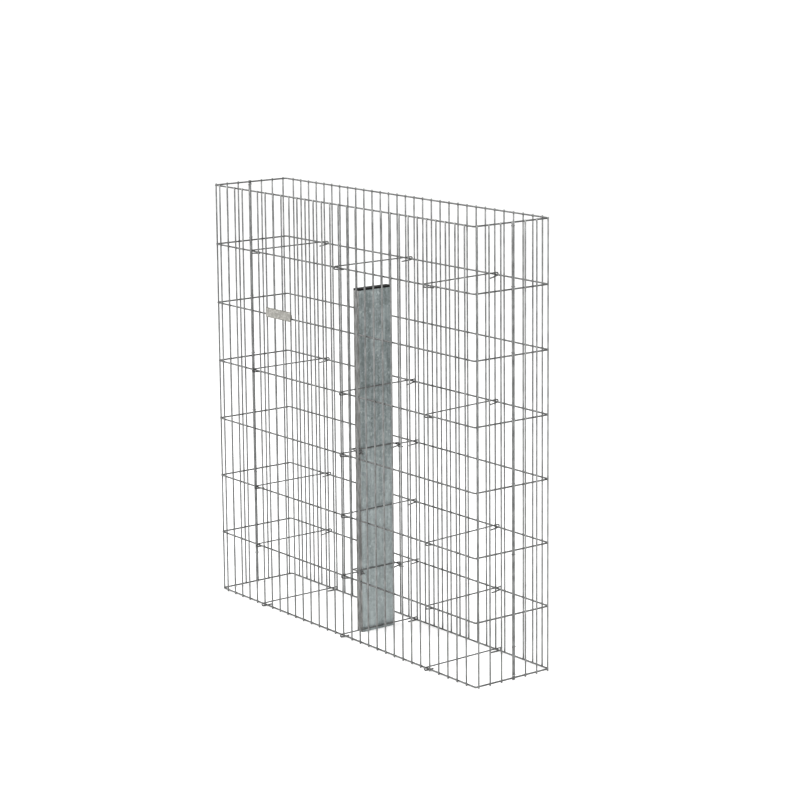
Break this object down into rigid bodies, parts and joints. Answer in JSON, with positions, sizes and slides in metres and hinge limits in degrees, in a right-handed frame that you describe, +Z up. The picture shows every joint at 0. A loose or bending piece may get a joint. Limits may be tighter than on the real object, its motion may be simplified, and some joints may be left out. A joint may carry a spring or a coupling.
{
  "type": "wire gabion wall basket",
  "caption": "Empty free-standing gabion wall basket of welded galvanised wire mesh, with hooked tie wires and a flat hollow inner post.",
  "frame": {"origin": "centre of the bounding box's bottom face, on the ground", "axes": "+X along the wall to the right end seen from the front, -Y out of the front face that has the label plate, +Z up"},
  "size_m": [1.1666, 0.2694, 1.1825],
  "materials": {
    "mesh_wire": "galvanised, dull",
    "tie_wire": "galvanised, dull",
    "post_zinc": "galvanised, spangled",
    "cap_plastic": "moulded, satin",
    "label_plate": "satin"
  },
  "bodies": {
    "root": {"front_mesh": "mesh_wire", "back_mesh": "mesh_wire", "front_right_return": "mesh_wire", "front_left_return": "mesh_wire", "back_left_return": "mesh_wire", "back_right_return": "mesh_wire", "tie_level_1_left": "tie_wire", "tie_level_1_centre": "tie_wire", "tie_level_1_right": "tie_wire", "tie_level_3_left": "tie_wire", "tie_level_3_centre": "tie_wire", "tie_level_3_right": "tie_wire", "tie_level_5_left": "tie_wire", "tie_level_5_centre": "tie_wire", "tie_level_5_right": "tie_wire", "tie_level_6_left": "tie_wire", "tie_level_6_right": "tie_wire", "tie_level_7_left": "tie_wire", "tie_level_7_centre": "tie_wire", "tie_level_7_right": "tie_wire", "post_loop_level_4": "tie_wire", "post_bar_level_4": "tie_wire", "post_tie_front_level_4": "tie_wire", "post_tie_back_level_4": "tie_wire", "post_loop_level_6": "tie_wire", "post_bar_level_6": "tie_wire", "post_tie_front_level_6": "tie_wire", "post_tie_back_level_6": "tie_wire", "seam_clips_right": "tie_wire", "seam_clips_left": "tie_wire", "post_cap": "cap_plastic", "post": "post_zinc", "label_plate": "label_plate"}
  },
  "joints": []
}
